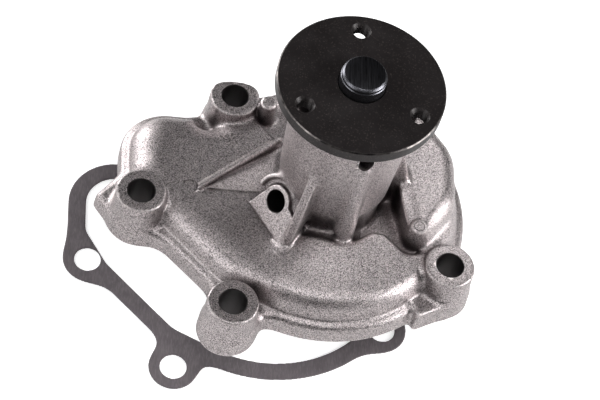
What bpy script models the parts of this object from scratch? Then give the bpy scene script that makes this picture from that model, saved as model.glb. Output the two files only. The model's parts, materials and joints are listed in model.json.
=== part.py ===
"""An automotive water pump: cast housing, drive flange, shaft bearing, face seal, impeller and gasket.

Metres, +Z up the shaft. The origin is the centre of the shaft's rear end, level with the impeller's
rear edge, on which the pump stands. The front of the pump faces -Y and its side lobe points to -X.
"""

import math

import bmesh
import bpy
from mathutils import Matrix, Vector

MM = 0.001
GAP = 0.3 * MM  # between a solid and its neighbour

# Heights.
MOUNT_Z = 28 * MM  # the face that bolts to the engine
STOCK_Z = MOUNT_Z - 1 * MM  # the casting reaches this far down before its face is milled
RIM_TOP = MOUNT_Z + 8 * MM
DECK_Z = MOUNT_Z + 16.5 * MM
BOSS_TOP = MOUNT_Z + 19.6 * MM
PLATEAU_Z = MOUNT_Z + 25.5 * MM
NOSE_TOP = MOUNT_Z + 73.9 * MM
FLANGE_TOP = MOUNT_Z + 82.9 * MM
SHAFT_TOP = FLANGE_TOP + 5.7 * MM

# Housing in plan.
ROUND_R = 52.9 * MM  # the round part of the mounting rim
BOLT_HOLE_R = 5 * MM
BOSS_R = 9 * MM
BOSS_FOOT_R = 10.2 * MM
BOSSES = {
    "left": (-67.7 * MM, -8.8 * MM),
    "front": (-34.0 * MM, -51.2 * MM),
    "right": (43.4 * MM, -28.6 * MM),
    "rear": (26.8 * MM, 50.3 * MM),
    "rear_left": (-35.2 * MM, 36.9 * MM),
}
REAR_LEFT_FLAT_Y = 43.5 * MM  # this boss is cut flat at the back
WALL_INSET = 3.7 * MM  # from the rim's edge to the body's wall
CAVITY_INSET = 8.3 * MM
SHOULDER_R = 8 * MM  # the rounding from the wall to the deck
CAVITY_TOP = MOUNT_Z + 11.5 * MM
TROUGH_FLOOR = MOUNT_Z + 13.6 * MM
RECESS_FLOOR = MOUNT_Z + 9 * MM
CAST_WALL = 4 * MM
FRONT_RIB_ANGLE = -78  # degrees round the shaft

# Drive flange.
FLANGE_R = 29 * MM
FLANGE_THICK = 5 * MM
FLANGE_BOSS_R = 12 * MM
TAPPED_HOLE_R = 2.6 * MM
TAPPED_CIRCLE_R = 22.4 * MM
TAPPED_ANGLES = (90, 210, 330)

# Shaft and bearing.
SHAFT_R = 7.95 * MM
BEARING_R = 15 * MM
BEARING_BOTTOM = MOUNT_Z + 33 * MM
BEARING_TOP = MOUNT_Z + 72 * MM
LAND_R = 12.2 * MM  # bore of the outer ring between its tracks
BALL_R = 2.6 * MM
BALL_PITCH_R = 10.2 * MM
BALL_Z = MOUNT_Z + 61 * MM
BALLS = 8
GROOVE_R = BALL_R + 0.35 * MM
ROLLER_R = 2.1 * MM
ROLLER_LENGTH = 7 * MM
ROLLER_PITCH_R = 10.35 * MM
ROLLER_Z = MOUNT_Z + 43.5 * MM
ROLLERS = 9

# Face seal and the bores that hold it.
SEAL_R = 16 * MM
SEAL_BOTTOM = MOUNT_Z + 4 * MM
SEAL_TOP = MOUNT_Z + 17 * MM
COLLAR_R = 21 * MM
DRAIN_CHAMBER_R = 13.3 * MM
SHAFT_BORE_R = 9.6 * MM  # of the parts that stand still round the shaft

# Impeller.
IMPELLER_R = 27.5 * MM
IMPELLER_HUB_R = 12 * MM
DISC_BOTTOM = MOUNT_Z - 13 * MM
DISC_TOP = MOUNT_Z - 10 * MM
IMPELLER_TOP = MOUNT_Z - 5.2 * MM
VANES = 6
VANE_THICK = 2.6 * MM
VANE_SWEEP = 0.9  # radians turned for each e-fold of the radius

# Gasket, lying on the ground beside its seat.
GASKET_THICK = 0.8 * MM
GASKET_SHIFT = Vector((-15.5 * MM, -1 * MM, 0))
GASKET_EAR_R = 9.4 * MM
GASKET_HOLE_R = 4.6 * MM
GASKET_OUTSET = 0.5 * MM
GASKET_INSET = 6.3 * MM

ARC_STEP = math.radians(12)
MANIFOLD_ONLY = {"pump_housing"}  # the exact solver leaves gaps in this one


# ---------------------------------------------------------------- scene and materials


def clear_scene():
    for obj in list(bpy.data.objects):
        bpy.data.objects.remove(obj, do_unlink=True)


def collection(name, hidden=False):
    made = bpy.data.collections.new(name)
    bpy.context.scene.collection.children.link(made)
    made.hide_render = hidden
    return made


def material(name, colour, metallic, roughness):
    made = bpy.data.materials.new(name)
    made.use_nodes = True
    shader = made.node_tree.nodes["Principled BSDF"]
    shader.inputs["Base Color"].default_value = (*colour, 1)
    shader.inputs["Metallic"].default_value = metallic
    shader.inputs["Roughness"].default_value = roughness
    return made


clear_scene()
PUMP = collection("water_pump")
TOOLS = collection("construction", hidden=True)
CAST_ALUMINIUM = material("cast_aluminium", (0.42, 0.39, 0.39), 0.9, 0.5)
BLACK_STEEL = material("black_steel", (0.03, 0.028, 0.027), 0.8, 0.4)
GROUND_STEEL = material("ground_steel", (0.5, 0.5, 0.52), 1, 0.25)
PRESSED_STEEL = material("pressed_steel", (0.6, 0.58, 0.55), 1, 0.35)
CAST_IRON = material("cast_iron", (0.13, 0.12, 0.12), 0.8, 0.6)
RUBBER = material("rubber", (0.02, 0.02, 0.02), 0, 0.7)
CARBON = material("carbon", (0.05, 0.05, 0.055), 0.1, 0.5)
CERAMIC = material("ceramic", (0.85, 0.83, 0.78), 0, 0.3)
CAGE_PLASTIC = material("cage_plastic", (0.55, 0.42, 0.25), 0, 0.5)
FIBRE = material("gasket_fibre", (0.12, 0.11, 0.12), 0, 0.85)


# ---------------------------------------------------------------- shape helpers


def add(name, data, finish=None):
    """A new object: a visible part where it has a finish, otherwise a construction tool."""
    made = bpy.data.objects.new(name, data)
    if finish is None:
        made.hide_render = True
        made.display_type = "WIRE"
        TOOLS.objects.link(made)
    else:
        data.materials.append(finish)
        PUMP.objects.link(made)
    return made


def mesh_from(name, bm):
    data = bpy.data.meshes.new(name)
    bm.to_mesh(data)
    bm.free()
    return data


def smooth(data, angle=40):
    data.shade_smooth()
    data.set_sharp_from_angle(angle=math.radians(angle))


def turned(name, profile, finish=None, steps=28):
    """A profile of (radius, height), running down its outer side, turned round the Z axis.

    A profile that starts on the axis is open; any other is a closed ring.
    """
    count = len(profile)
    ring = profile[0][0] > 0
    edges = [(i, (i + 1) % count) for i in range(count if ring else count - 1)]
    data = bpy.data.meshes.new(name)
    data.from_pydata([(r, 0, z) for r, z in profile], edges, [])
    made = add(name, data, finish)
    screw = made.modifiers.new("turn", "SCREW")
    screw.steps = steps
    screw.render_steps = steps
    screw.use_merge_vertices = True
    screw.merge_threshold = 0.00001
    screw.use_smooth_shade = True
    return made


def tube(name, inner, outer, bottom, top, finish=None, steps=28):
    return turned(name, [(outer, top), (outer, bottom), (inner, bottom), (inner, top)], finish, steps)


def rod(name, radius, bottom, top, finish=None, steps=24):
    return turned(name, [(0, top), (radius, top), (radius, bottom), (0, bottom)], finish, steps)


def arc(centre, radius, start, end, step=ARC_STEP):
    """Points along an arc in plan, angles in radians."""
    count = max(2, math.ceil(abs(end - start) / step))
    return [
        centre + radius * Vector((math.cos(a), math.sin(a)))
        for a in (start + (end - start) * i / count for i in range(count + 1))
    ]


def rounded(corners):
    """A closed outline with each corner (x, y, radius) rounded; a radius of 0 keeps it sharp."""
    points = []
    count = len(corners)
    for i, (x, y, radius) in enumerate(corners):
        here = Vector((x, y))
        if radius == 0:
            points.append(here)
            continue
        back = (Vector(corners[i - 1][:2]) - here).normalized()
        ahead = (Vector(corners[(i + 1) % count][:2]) - here).normalized()
        half = back.angle(ahead) / 2
        centre = here + (back + ahead).normalized() * radius / math.sin(half)
        first = here + back * radius / math.tan(half) - centre
        last = here + ahead * radius / math.tan(half) - centre
        start = math.atan2(first.y, first.x)
        turn = first.angle_signed(last)
        points += arc(centre, radius, start, start - turn)
    return points


def inset(outline, distance):
    """The outline (counter-clockwise) moved inwards by a distance."""
    moved = []
    count = len(outline)
    for i, here in enumerate(outline):
        back = (here - outline[i - 1]).normalized()
        ahead = (outline[(i + 1) % count] - here).normalized()
        along = (back + ahead).normalized()
        inward = Vector((-along.y, along.x))
        moved.append(here + inward * distance / max(0.5, along.dot(ahead)))
    return moved


def plate(name, outlines, bottom, top, finish=None):
    """A flat plate: the first outline is its edge, the others are holes in it."""
    curve = bpy.data.curves.new(name, "CURVE")
    curve.dimensions = "2D"
    curve.fill_mode = "BOTH"
    curve.extrude = (top - bottom) / 2
    for outline in outlines:
        spline = curve.splines.new("POLY")
        spline.points.add(len(outline) - 1)
        for point, (x, y) in zip(spline.points, outline):
            point.co = (x, y, 0, 1)
        spline.use_cyclic_u = True
    flat = bpy.data.objects.new(name, curve)
    flat.location.z = (top + bottom) / 2
    bpy.context.scene.collection.objects.link(flat)
    bpy.context.view_layer.update()
    graph = bpy.context.evaluated_depsgraph_get()
    data = bpy.data.meshes.new_from_object(flat.evaluated_get(graph))
    place = flat.matrix_world.copy()
    bpy.data.objects.remove(flat)
    bm = bmesh.new()
    bm.from_mesh(data)
    bmesh.ops.remove_doubles(bm, verts=bm.verts, dist=0.000001)
    bmesh.ops.recalc_face_normals(bm, faces=bm.faces)
    bm.to_mesh(data)
    bm.free()
    data.name = name
    made = add(name, data, finish)
    made.matrix_world = place
    return made


def loft(name, rings, finish=None):
    """A solid through a stack of plan outlines, each (outline, height), all with as many points."""
    bm = bmesh.new()
    loops = [[bm.verts.new((x, y, z)) for x, y in outline] for outline, z in rings]
    count = len(loops[0])
    for low, high in zip(loops, loops[1:]):
        for i in range(count):
            j = (i + 1) % count
            bm.faces.new((low[i], low[j], high[j], high[i]))
    bm.faces.new(reversed(loops[0]))
    bm.faces.new(loops[-1])
    return add(name, mesh_from(name, bm), finish)


def shouldered(name, outline, bottom, top, radius):
    """A block with a rounded upper edge."""
    steps = 4
    rings = [(outline, bottom)]
    for i in range(steps + 1):
        angle = math.pi / 2 * i / steps
        across = radius * (1 - math.cos(angle))
        rings.append((inset(outline, across), top - radius * (1 - math.sin(angle))))
    return loft(name, rings)


def hull(name, points):
    """The convex solid through a few points."""
    bm = bmesh.new()
    for point in points:
        bm.verts.new(point)
    bmesh.ops.convex_hull(bm, input=bm.verts)
    bmesh.ops.recalc_face_normals(bm, faces=bm.faces)
    return add(name, mesh_from(name, bm))


def cone(name, foot_radius, top_radius, place, bottom, top):
    """An upright post with draft."""
    made = turned(name, [(0, top), (top_radius, top), (foot_radius, bottom), (0, bottom)], steps=24)
    made.location = (*place, 0)
    return made


def fin(name, side, angle, thick):
    """A rib: its side view, (radius, height) points, stood in the plane at an angle round the shaft."""
    bm = bmesh.new()
    face = bm.faces.new([bm.verts.new((r, -thick / 2, z)) for r, z in side])
    extruded = bmesh.ops.extrude_face_region(bm, geom=[face])["geom"]
    far_side = [item for item in extruded if isinstance(item, bmesh.types.BMVert)]
    bmesh.ops.translate(bm, vec=(0, thick, 0), verts=far_side)
    bmesh.ops.recalc_face_normals(bm, faces=bm.faces)
    made = add(name, mesh_from(name, bm))
    made.rotation_euler.z = math.radians(angle)
    return made


def combine(target, other, operation):
    step = target.modifiers.new(other.name, "BOOLEAN")
    step.operation = operation
    step.object = other
    if target.name in MANIFOLD_ONLY:
        step.solver = "MANIFOLD"


def join(target, *others):
    for other in others:
        combine(target, other, "UNION")


def cut(target, *others):
    for other in others:
        combine(target, other, "DIFFERENCE")


def axis_empty(name, height=0.0):
    made = bpy.data.objects.new(name, None)
    made.location.z = height
    PUMP.objects.link(made)
    return made


# ---------------------------------------------------------------- housing


def core_outline():
    """The rim in plan without its bolt ears: a disc with a side lobe."""
    origin = Vector((0, 0))
    disc = arc(origin, ROUND_R, math.radians(-112), math.radians(132), math.radians(8))
    lobe = rounded(
        [
            (-46 * MM, 34.8 * MM, 0),
            (-76.8 * MM, 34.8 * MM, 18 * MM),
            (-75.5 * MM, 2 * MM, 14 * MM),
            (-65.5 * MM, -14 * MM, 14 * MM),
            (-38.5 * MM, -40.5 * MM, 20 * MM),
            (*disc[0], 0),
        ]
    )
    return disc + lobe[:-1]


def circle(place, radius, count=20):
    return [
        Vector(place) + radius * Vector((math.cos(a), math.sin(a)))
        for a in (2 * math.pi * i / count for i in range(count))
    ]


def housing_body(core):
    """The mounting rim, the walls with their rounded shoulder, and the raised deck round the nose."""
    rim = plate("pump_housing", [core], STOCK_Z, RIM_TOP, CAST_ALUMINIUM)
    wall = shouldered("wall", inset(core, WALL_INSET), RIM_TOP - 2 * MM, DECK_Z, SHOULDER_R)
    dome = turned(
        "deck_dome",
        [
            (0, DECK_Z + 5 * MM),
            (24 * MM, DECK_Z + 5 * MM),
            (43 * MM, DECK_Z - 0.5 * MM),
            (43 * MM, RIM_TOP),
            (0, RIM_TOP),
        ],
        steps=40,
    )
    behind_dome = plate(
        "behind_dome",
        [[(-50 * MM, -6 * MM), (50 * MM, -6 * MM), (50 * MM, 60 * MM), (-50 * MM, 60 * MM)]],
        DECK_Z - 2 * MM,
        DECK_Z + 8 * MM,
    )
    cut(dome, behind_dome)
    trough = hull(
        "trough",
        [
            (-47 * MM, -3 * MM, DECK_Z - 0.2 * MM),
            (-48 * MM, -3.8 * MM, DECK_Z + 2 * MM),
            (-12 * MM, 0, DECK_Z + 2 * MM),
            (-12 * MM, 26.5 * MM, DECK_Z + 2 * MM),
            (-12 * MM, 4 * MM, TROUGH_FLOOR),
            (-12 * MM, 20 * MM, TROUGH_FLOOR),
        ],
    )
    recess = plate("rear_recess", [recess_outline()], RECESS_FLOOR, DECK_Z + 2 * MM)
    join(rim, wall, dome)
    cut(rim, trough, recess)
    return rim


def recess_outline():
    """The low ground behind the nose, in plan, clockwise."""
    return rounded(
        [
            (-29.5 * MM, 33.5 * MM, 2 * MM),
            (-14 * MM, 42 * MM, 4 * MM),
            (16 * MM, 36 * MM, 4 * MM),
            (14 * MM, 0, 0),
            (-10 * MM, 0, 0),
            (-18.5 * MM, 20 * MM, 0),
        ]
    )


def nose():
    """The bearing housing: a column that stands in a moat and narrows towards its foot."""
    profile = [
        (0, NOSE_TOP),
        (21.5 * MM, NOSE_TOP),
        (21 * MM, MOUNT_Z + 50 * MM),
        (20.3 * MM, MOUNT_Z + 35 * MM),
        (18.2 * MM, MOUNT_Z + 24 * MM),
        (18.6 * MM, MOUNT_Z + 10 * MM),
        (0, MOUNT_Z + 10 * MM),
    ]
    return turned("nose", profile, steps=40)


def moat():
    floor = MOUNT_Z + 14.6 * MM
    above = DECK_Z + 8 * MM
    inner = 17 * MM
    profile = [(23.4 * MM, above), (21.8 * MM, floor), (inner, floor), (inner, above)]
    return turned("moat", profile, steps=40)


def drain_pad():
    """The buttress at the left front of the nose, its outer face sloped for the drain hole."""
    block = plate(
        "drain_pad",
        [
            [
                (-30 * MM, -8.6 * MM),
                (-19.3 * MM, -25.5 * MM),
                (-7 * MM, -15 * MM),
                (-14 * MM, 0),
                (-22 * MM, -1 * MM),
            ]
        ],
        RIM_TOP,
        MOUNT_Z + 40 * MM,
    )
    far = 60 * MM
    slope = hull("pad_slope", [(x, y, z) for x in (0, far) for y in (-far, far) for z in (-far, far)])
    slope.matrix_world = DRAIN_FRAME
    cut(block, slope)
    return block


def drain_frame():
    """The drain hole's axis: +X leaves the pad's face, outwards and up."""
    place = Matrix.Translation((-20.6 * MM, -12.6 * MM, MOUNT_Z + 26.2 * MM))
    heading = Matrix.Rotation(math.radians(-147.5), 4, "Z")
    rise = Matrix.Rotation(math.radians(-31), 4, "Y")
    return place @ heading @ rise


DRAIN_FRAME = drain_frame()


def along_drain(name, radius, start, end):
    """A round cutter along the drain hole's axis."""
    made = rod(name, radius, start, end)
    made.matrix_world = DRAIN_FRAME @ Matrix.Rotation(math.pi / 2, 4, "Y")
    return made


def bolt_boss(name, place):
    return cone("boss_" + name, BOSS_FOOT_R, BOSS_R, place, STOCK_Z - 1 * MM, BOSS_TOP)


def left_ear():
    """The pointed corner of the rim beyond the left bolt boss."""
    outline = rounded(
        [
            (-84 * MM, -3.6 * MM, 2.5 * MM),
            (-75.5 * MM, -15.5 * MM, 6 * MM),
            (-60 * MM, -12 * MM, 0),
            (-66 * MM, 8 * MM, 0),
            (-75.6 * MM, 7 * MM, 3 * MM),
        ]
    )
    return plate("left_ear", [outline], STOCK_Z - 0.5 * MM, RIM_TOP - 0.4 * MM)


def plateau():
    """The raised step on the right of the nose."""
    outline = rounded(
        [
            (25.5 * MM, 34 * MM, 3 * MM),
            (25.5 * MM, -21 * MM, 3 * MM),
            (34 * MM, -28 * MM, 6 * MM),
            (46 * MM, -14 * MM, 16 * MM),
            (46 * MM, 18 * MM, 16 * MM),
            (34 * MM, 36 * MM, 5 * MM),
        ]
    )
    return shouldered("plateau", outline, RIM_TOP, PLATEAU_Z, 4 * MM)


def rib_side(*corners):
    """A rib's side view from (radius, height above the mounting face) corners in millimetres."""
    return [(r * MM, MOUNT_Z + z * MM) for r, z in corners]


def housing_ribs():
    pad_side = rib_side((15, 10), (31.6, 12), (31, 16.5), (20.4, 56), (15, 58))
    front_side = rib_side((15, 10), (26, 10), (24.6, 22), (22.2, 56), (20, 62), (15, 64))
    plain_side = rib_side((15, 10), (32, 10), (30, 18), (21, 52), (15, 54))
    return [
        fin("pad_rib", pad_side, -121.5, 3.4 * MM),
        fin("front_rib", front_side, FRONT_RIB_ANGLE, 7 * MM),
        fin("rear_rib", plain_side, 78, 5 * MM),
        fin("right_rib", plain_side, 8, 5 * MM),
    ]


def housing_bores(core):
    """Everything that is cut from the inside, and the bolt holes."""
    below = MOUNT_Z - 5 * MM
    volute = plate("volute", [inset(core, CAVITY_INSET)], below, CAVITY_TOP)
    collar = tube("seal_collar", SHAFT_R, COLLAR_R, SEAL_BOTTOM + GAP, CAVITY_TOP + 3 * MM, steps=40)
    seal_bore = rod("seal_bore", SEAL_R + GAP, below, SEAL_TOP + GAP, steps=40)
    chamber = rod("drain_chamber", DRAIN_CHAMBER_R, SEAL_TOP, BEARING_BOTTOM)
    above = NOSE_TOP + 5 * MM
    bearing_bore = rod("bearing_bore", BEARING_R + GAP, BEARING_BOTTOM - GAP, above, steps=40)
    holes = [bolt_hole(name, place) for name, place in BOSSES.items()]
    return volute, collar, [seal_bore, chamber, bearing_bore, *holes]


def milled_away():
    """The stock under the mounting face."""
    wide = 120 * MM
    below = [(-wide, -wide), (wide, -wide), (wide, wide), (-wide, wide)]
    return plate("milled_away", [below], MOUNT_Z - 9 * MM, MOUNT_Z)


def bolt_hole(name, place):
    made = rod("hole_" + name, BOLT_HOLE_R, MOUNT_Z - 5 * MM, BOSS_TOP + 5 * MM)
    made.location = (*place, 0)
    return made


def behind_rear_left_boss():
    """What is cut away to leave that boss flat at the back."""
    left = -60 * MM
    right = -19 * MM
    back = 60 * MM
    outline = [(left, REAR_LEFT_FLAT_Y), (right, REAR_LEFT_FLAT_Y), (right, back), (left, back)]
    return plate("rear_left_flat", [outline], RIM_TOP + 0.5 * MM, BOSS_TOP + 5 * MM)


def posts():
    """The two slim posts left by the casting's ejectors."""
    rear_place = (-23 * MM, 33 * MM)
    front_place = (31.2 * MM, -17.6 * MM)
    return [
        cone("rear_post", 3.6 * MM, 3.1 * MM, rear_place, RIM_TOP - 2 * MM, MOUNT_Z + 23 * MM),
        cone("front_post", 3.3 * MM, 3.1 * MM, front_place, DECK_Z, PLATEAU_Z + 0.5 * MM),
    ]


def under_recess():
    """The cavity's roof under the low ground behind the nose."""
    outline = inset(recess_outline(), CAST_WALL)
    return plate("under_recess", [outline], RECESS_FLOOR - CAST_WALL, RECESS_FLOOR)


def pump_housing():
    core = core_outline()
    body = housing_body(core)
    bosses = [bolt_boss(name, place) for name, place in BOSSES.items()]
    cut(bosses[-1], behind_rear_left_boss())
    cut(body, moat())
    join(body, *bosses, left_ear(), plateau(), nose(), drain_pad(), *housing_ribs(), *posts())
    volute, collar, bores = housing_bores(core)
    cut(body, milled_away(), volute)
    join(body, collar, under_recess())
    cut(body, *bores)
    cut(body, along_drain("drain_face", 6 * MM, -0.4 * MM, 30 * MM))
    cut(body, along_drain("drain_hole", 4 * MM, -16 * MM, 5 * MM))
    cut(body, nose_slot())
    return body


def nose_slot():
    """A round-bottomed notch down the front of the nose, in line with the front rib."""
    wide = 2.7 * MM
    outer_r = 30 * MM
    inner_r = 17 * MM
    bottom = MOUNT_Z + 62 * MM
    side = [
        (x, math.copysign(wide * math.cos(a), y), bottom + wide * (1 - math.sin(a)))
        for x in (inner_r, outer_r)
        for y in (-1, 1)
        for a in (0, math.pi / 6, math.pi / 3)
    ]
    top = [(x, y, NOSE_TOP + 5 * MM) for x in (inner_r, outer_r) for y in (-wide, wide)]
    made = hull("nose_slot", side + top)
    made.rotation_euler.z = math.radians(FRONT_RIB_ANGLE)
    return made


# ---------------------------------------------------------------- rotor


def groove(z, side):
    """(radius, height) points of a ball groove, top to bottom.

    The side is +1 in the outer ring and -1 in the shaft.
    """
    edge_r = LAND_R if side > 0 else SHAFT_R
    half = math.acos(abs(edge_r - BALL_PITCH_R) / GROOVE_R)
    angles = [half - 2 * half * i / 4 for i in range(5)]
    return [
        (BALL_PITCH_R + side * GROOVE_R * math.cos(a), z + GROOVE_R * math.sin(a)) for a in angles
    ]


def shaft():
    chamfer = 1 * MM
    profile = [(0, SHAFT_TOP), (SHAFT_R - chamfer, SHAFT_TOP), (SHAFT_R, SHAFT_TOP - chamfer)]
    profile += groove(BALL_Z, -1)
    profile += [(SHAFT_R, chamfer), (SHAFT_R - chamfer, 0), (0, 0)]
    return turned("shaft", profile, GROUND_STEEL)


def drive_flange():
    bevel = 0.7 * MM
    under = FLANGE_TOP - FLANGE_THICK
    bore = SHAFT_R + GAP
    profile = [
        (FLANGE_R - bevel, FLANGE_TOP),
        (FLANGE_R, FLANGE_TOP - bevel),
        (FLANGE_R, under + bevel),
        (FLANGE_R - bevel, under),
        (FLANGE_BOSS_R, under),
        (FLANGE_BOSS_R, under - 3 * MM),
        (bore, under - 3 * MM),
        (bore, FLANGE_TOP),
    ]
    made = turned("drive_flange", profile, BLACK_STEEL, 48)
    for angle in TAPPED_ANGLES:
        chamfer = 0.7 * MM
        top = FLANGE_TOP + 1 * MM
        hole = turned(
            f"tapped_hole_{angle}",
            [
                (0, top),
                (TAPPED_HOLE_R + chamfer + 1 * MM, top),
                (TAPPED_HOLE_R, FLANGE_TOP - chamfer),
                (TAPPED_HOLE_R, under - 1 * MM),
                (0, under - 1 * MM),
            ],
            steps=14,
        )
        turn = math.radians(angle)
        hole.location = (TAPPED_CIRCLE_R * math.cos(turn), TAPPED_CIRCLE_R * math.sin(turn), 0)
        cut(made, hole)
    return made


def vane_outline(turn):
    """A backward-swept vane, a plank along a logarithmic spiral."""
    start_r = IMPELLER_HUB_R - 1.5 * MM
    end_r = IMPELLER_R - 0.4 * MM
    steps = 5
    sides = [[], []]
    for i in range(steps + 1):
        r = start_r + (end_r - start_r) * i / steps
        angle = turn + VANE_SWEEP * math.log(r / start_r)
        across = angle + math.atan(VANE_SWEEP) + math.pi / 2
        middle = r * Vector((math.cos(angle), math.sin(angle)))
        offset = VANE_THICK / 2 * Vector((math.cos(across), math.sin(across)))
        sides[0].append(middle - offset)
        sides[1].append(middle + offset)
    return sides[0] + sides[1][::-1]


def impeller():
    bore = SHAFT_R + GAP
    profile = [
        (IMPELLER_HUB_R - 1 * MM, IMPELLER_TOP),
        (IMPELLER_HUB_R, IMPELLER_TOP - 1 * MM),
        (IMPELLER_HUB_R, DISC_TOP),
        (IMPELLER_R, DISC_TOP),
        (IMPELLER_R, DISC_BOTTOM),
        (IMPELLER_HUB_R + 2 * MM, DISC_BOTTOM),
        (IMPELLER_HUB_R - 0.5 * MM, DISC_BOTTOM - 3 * MM),
        (IMPELLER_HUB_R - 0.5 * MM, 0),
        (bore, 0),
        (bore, IMPELLER_TOP),
    ]
    made = turned("impeller", profile, CAST_IRON, 36)
    for i in range(VANES):
        outline = vane_outline(2 * math.pi * i / VANES)
        join(made, plate(f"vane_{i}", [outline], 0.1 * MM, DISC_TOP - 1 * MM))
    return made


def slinger():
    low = MOUNT_Z + 27.5 * MM
    inner = SHAFT_R + GAP
    profile = [
        (12.4 * MM, low + 3.4 * MM),
        (12.6 * MM, low + 2.6 * MM),
        (10.4 * MM, low),
        (inner, low),
        (inner, low + 1.4 * MM),
        (10 * MM, low + 1.4 * MM),
    ]
    return turned("slinger", profile, RUBBER)


def rotating_seal():
    """The seat ring that turns against the carbon, in its rubber boot on the shaft."""
    inner = SHAFT_R + GAP
    seat = tube("seal_seat", 9.2 * MM, 13.2 * MM, MOUNT_Z - 2.4 * MM, MOUNT_Z + 1.2 * MM, CERAMIC)
    floor = MOUNT_Z - 4.6 * MM
    profile = [
        (14.5 * MM, MOUNT_Z - 0.4 * MM),
        (14.5 * MM, floor),
        (inner, floor),
        (inner, floor + 1.9 * MM),
        (13.5 * MM, floor + 1.9 * MM),
        (13.5 * MM, MOUNT_Z - 0.4 * MM),
    ]
    return [seat, turned("seal_seat_boot", profile, RUBBER)]


# ---------------------------------------------------------------- bearing


def bearing_ring():
    recess_r = ROLLER_PITCH_R + ROLLER_R + 0.35 * MM
    half = ROLLER_LENGTH / 2 + GAP
    bevel = 0.6 * MM
    profile = [
        (BEARING_R - bevel, BEARING_TOP),
        (BEARING_R, BEARING_TOP - bevel),
        (BEARING_R, BEARING_BOTTOM + bevel),
        (BEARING_R - bevel, BEARING_BOTTOM),
        (LAND_R, BEARING_BOTTOM),
        (LAND_R, ROLLER_Z - half),
        (recess_r, ROLLER_Z - half),
        (recess_r, ROLLER_Z + half),
        (LAND_R, ROLLER_Z + half),
        *reversed(groove(BALL_Z, 1)),
        (LAND_R, BEARING_TOP),
    ]
    return turned("bearing_outer_ring", profile, GROUND_STEEL)


def bearing_seals():
    inner = SHAFT_R + GAP
    outer = LAND_R - GAP
    thick = 1.2 * MM
    front = BEARING_TOP - 0.6 * MM
    rear = BEARING_BOTTOM + 0.6 * MM
    return [
        tube("bearing_seal_front", inner, outer, front - thick, front, RUBBER),
        tube("bearing_seal_rear", inner, outer, rear, rear + thick, RUBBER),
    ]


def ball_row():
    cage = tube("ball_cage", 9.4 * MM, 11 * MM, BALL_Z - 4 * MM, BALL_Z + 4 * MM, CAGE_PLASTIC)
    bm = bmesh.new()
    bmesh.ops.create_uvsphere(bm, u_segments=10, v_segments=7, radius=BALL_R)
    data = mesh_from("ball", bm)
    smooth(data, 60)
    data.materials.append(GROUND_STEEL)
    pieces = [cage]
    for i in range(BALLS):
        turn = Matrix.Rotation(2 * math.pi * i / BALLS, 4, "Z")
        place = turn @ Matrix.Translation((BALL_PITCH_R, 0, BALL_Z))
        pocket = rod(f"ball_pocket_{i}", GROOVE_R, -4 * MM, 4 * MM, steps=12)
        pocket.matrix_world = place @ Matrix.Rotation(math.pi / 2, 4, "Y")
        cut(cage, pocket)
        ball = bpy.data.objects.new(f"ball_{i + 1}", data)
        PUMP.objects.link(ball)
        ball.matrix_world = place
        pieces.append(ball)
    return pieces


def roller_row():
    half = ROLLER_LENGTH / 2
    end = half + GAP
    cage_half = end + 1.5 * MM
    low = ROLLER_Z - cage_half
    high = ROLLER_Z + cage_half
    cage = tube("roller_cage", 9.55 * MM, 11.15 * MM, low, high, CAGE_PLASTIC)
    pieces = [cage]
    for i in range(ROLLERS):
        turn = Matrix.Rotation(2 * math.pi * i / ROLLERS, 4, "Z")
        place = turn @ Matrix.Translation((ROLLER_PITCH_R, 0, ROLLER_Z))
        deep = 4 * MM
        wide = ROLLER_R + GAP
        corners = [(x, y, z) for x in (-deep, deep) for y in (-wide, wide) for z in (-end, end)]
        pocket = hull(f"roller_pocket_{i}", corners)
        pocket.matrix_world = place
        cut(cage, pocket)
        roller = rod(f"roller_{i + 1}", ROLLER_R, -half, half, GROUND_STEEL, 14)
        roller.matrix_world = place
        pieces.append(roller)
    return pieces


# ---------------------------------------------------------------- fixed half of the face seal


def fixed_seal():
    z = MOUNT_Z
    case = turned(
        "seal_case",
        [
            (SEAL_R, SEAL_TOP),
            (SEAL_R, SEAL_BOTTOM),
            (18 * MM, SEAL_BOTTOM),
            (18 * MM, SEAL_BOTTOM - 1 * MM),
            (SEAL_R - 1 * MM, SEAL_BOTTOM - 1 * MM),
            (SEAL_R - 1 * MM, SEAL_TOP - 1 * MM),
            (SHAFT_BORE_R, SEAL_TOP - 1 * MM),
            (SHAFT_BORE_R, SEAL_TOP),
        ],
        PRESSED_STEEL,
    )
    bellows = turned(
        "seal_bellows",
        [
            (14.6 * MM, SEAL_TOP - 1 * MM - GAP),
            (14.6 * MM, SEAL_TOP - 2.2 * MM),
            (10.8 * MM, SEAL_TOP - 2.2 * MM),
            (10.8 * MM, z + 10.6 * MM),
            (11.6 * MM, z + 9.6 * MM),
            (10.8 * MM, z + 8.6 * MM),
            (10.8 * MM, z + 6.2 * MM),
            (13.3 * MM, z + 6.2 * MM),
            (13.3 * MM, z + 5 * MM),
            (SHAFT_BORE_R, z + 5 * MM),
            (SHAFT_BORE_R, SEAL_TOP - 1 * MM - GAP),
        ],
        RUBBER,
    )
    carbon = turned(
        "seal_carbon",
        [
            (13.2 * MM, z + 4.7 * MM),
            (13.2 * MM, z + 2.6 * MM),
            (12.2 * MM, z + 2.6 * MM),
            (12.2 * MM, z + 1.5 * MM),
            (SHAFT_BORE_R + 0.2 * MM, z + 1.5 * MM),
            (SHAFT_BORE_R + 0.2 * MM, z + 4.7 * MM),
        ],
        CARBON,
    )
    band = tube("seal_band", 13.6 * MM, 14.3 * MM, z + 2.8 * MM, z + 6.4 * MM, PRESSED_STEEL)
    return [case, bellows, carbon, band, seal_spring(z + 7.1 * MM, z + 13.9 * MM)]


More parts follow.
